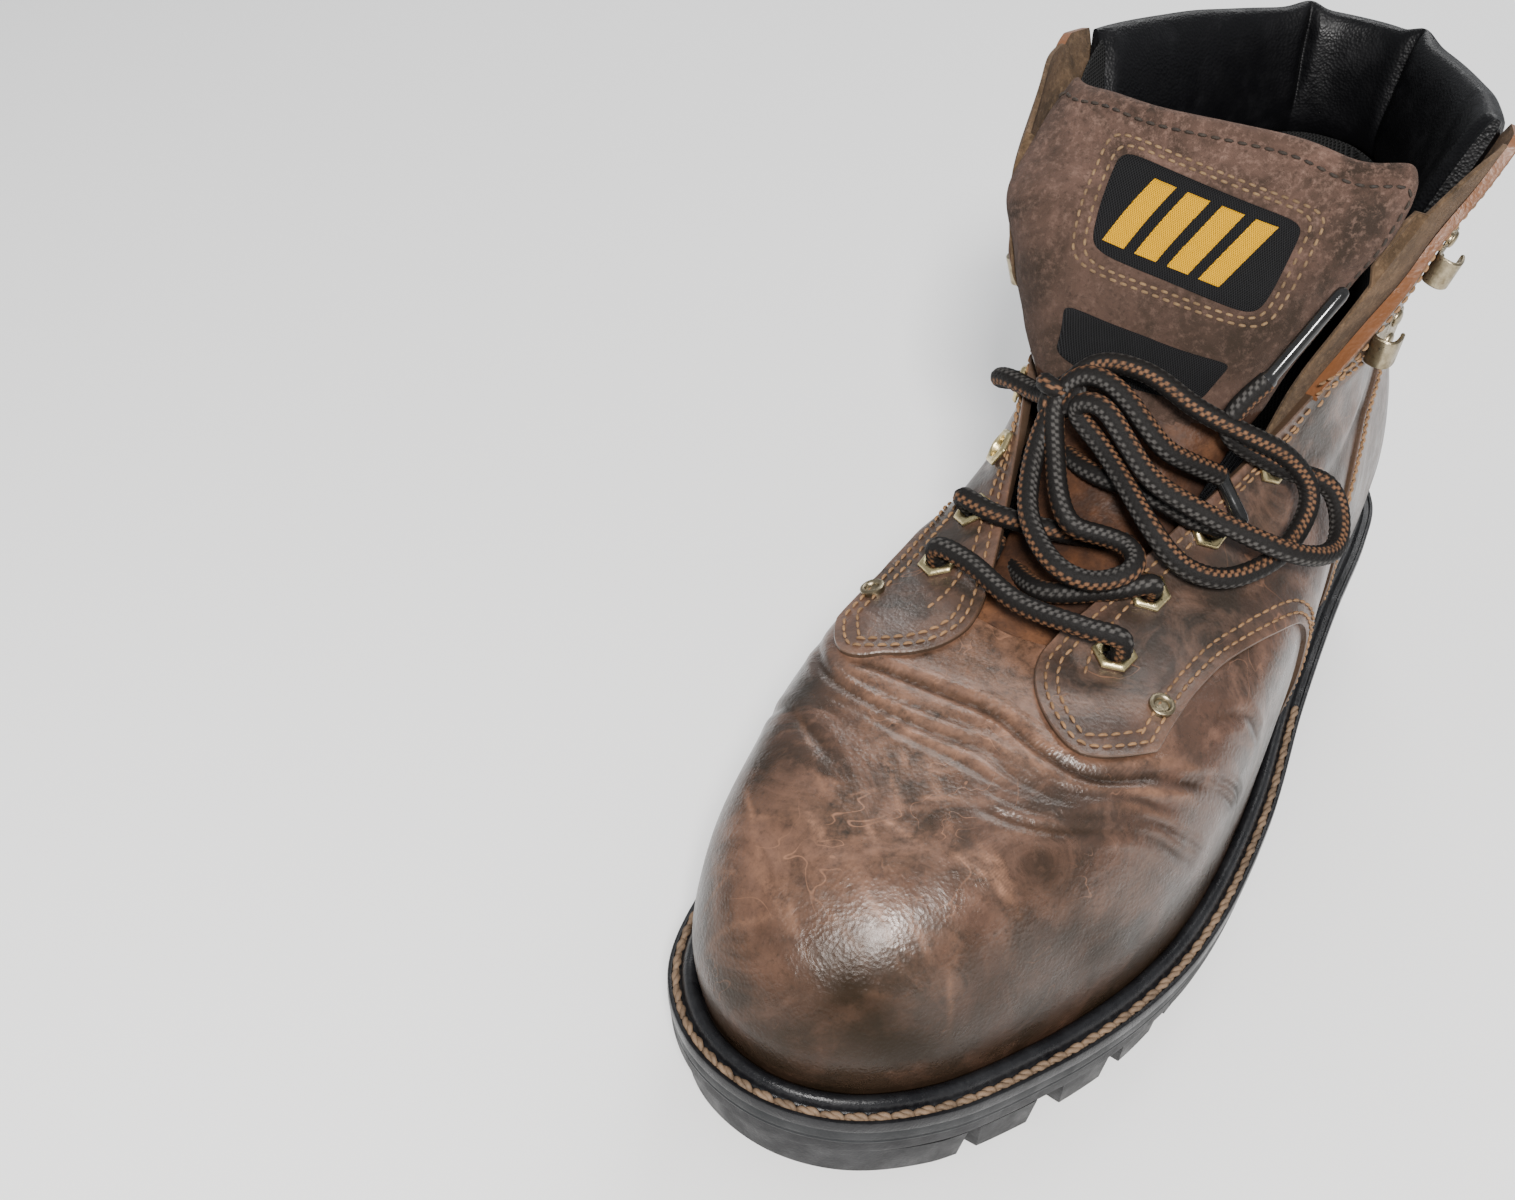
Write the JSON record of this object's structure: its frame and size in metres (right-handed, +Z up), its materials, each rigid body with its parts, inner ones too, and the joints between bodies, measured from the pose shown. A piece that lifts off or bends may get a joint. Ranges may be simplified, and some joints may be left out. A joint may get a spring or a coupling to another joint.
{
  "type": "work boot",
  "caption": "Ankle-high laced leather work boot with a steel toe cap, padded collar, welted rubber sole with a lugged tread and a pull loop at the back.",
  "frame": {"origin": "centre of the heel's ground face", "axes": "+Z up, +Y towards the heel, -Y towards the toe, +X towards the outer side of the foot"},
  "size_m": [0.1211, 0.3179, 0.1835],
  "materials": {
    "vamp_leather": "oiled pull-up leather, mottled brown, semi-gloss with scuffs",
    "quarter_leather": "oiled pull-up leather, mottled brown, satin",
    "band_leather": "oiled pull-up leather, dark brown, satin",
    "collar_leather": "smooth padded black leather, satin",
    "tongue_suede": "grey-brown suede, matt",
    "loop_leather": "brown leather strap, satin",
    "lining_cloth": "dark woven lining, matt",
    "patch_cloth": null,
    "lace_cloth": "round braided lace, black with brown flecks",
    "stitch_thread": "thick gold-brown thread",
    "rubber_outsole": "black rubber, slightly dusty",
    "rubber_midsole": "dark grey rubber",
    "rubber_welt": "glossy black welt",
    "cork": "cork filler",
    "fibre_board": "pressed fibre board",
    "footbed_foam": "cloth-covered foam",
    "steel": "bare pressed steel",
    "cushion_rubber": "soft black edge strip",
    "counter_plastic": "moulded stiffener",
    "eyelet_brass": "polished brass, worn",
    "hook_metal": "antique brass, satin",
    "aglet_plastic": "glossy black"
  },
  "bodies": {
    "boot": {"outsole": "rubber_outsole", "midsole": "rubber_midsole", "welt": "rubber_welt", "welt_stitching": "stitch_thread", "cork_filler": "cork", "steel_shank": "steel", "insole_board": "fibre_board", "footbed": "footbed_foam", "steel_toe_cap": "steel", "toe_cap_cushion": "cushion_rubber", "heel_counter": "counter_plastic", "vamp_lining": "lining_cloth", "quarter_lining": "lining_cloth", "vamp": "vamp_leather", "quarter_lateral": "quarter_leather", "quarter_medial": "quarter_leather", "heel_foxing": "quarter_leather", "ankle_band_lateral": "band_leather", "ankle_band_medial": "band_leather", "collar_pad": "collar_leather", "eyelets_lateral": "eyelet_brass", "eyelets_medial": "eyelet_brass", "hooks_lateral": "hook_metal", "hooks_medial": "hook_metal", "hook_rivets_lateral": "hook_metal", "hook_rivets_medial": "hook_metal", "vamp_rivets": "hook_metal", "lace_laced": "lace_cloth", "lace_knot": "lace_cloth", "lace_bow_lateral": "lace_cloth", "lace_bow_medial": "lace_cloth", "aglets": "aglet_plastic"},
    "tongue": {"tongue": "tongue_suede", "tongue_label": "patch_cloth", "tongue_tag": "patch_cloth"},
    "pull_loop": {"pull_loop": "loop_leather"}
  },
  "joints": [
    {"name": "tongue_flex", "type": "hinge", "parent": "boot", "child": "tongue", "pos_m": [-0.003, -0.16, 0.082], "axis": [1, 0, 0], "range_deg": [-5, 0]},
    {"name": "pull_loop_lift", "type": "hinge", "parent": "boot", "child": "pull_loop", "pos_m": [-0.002, 0.0435, 0.157], "axis": [1, 0, 0], "range_deg": [0, 70]}
  ]
}
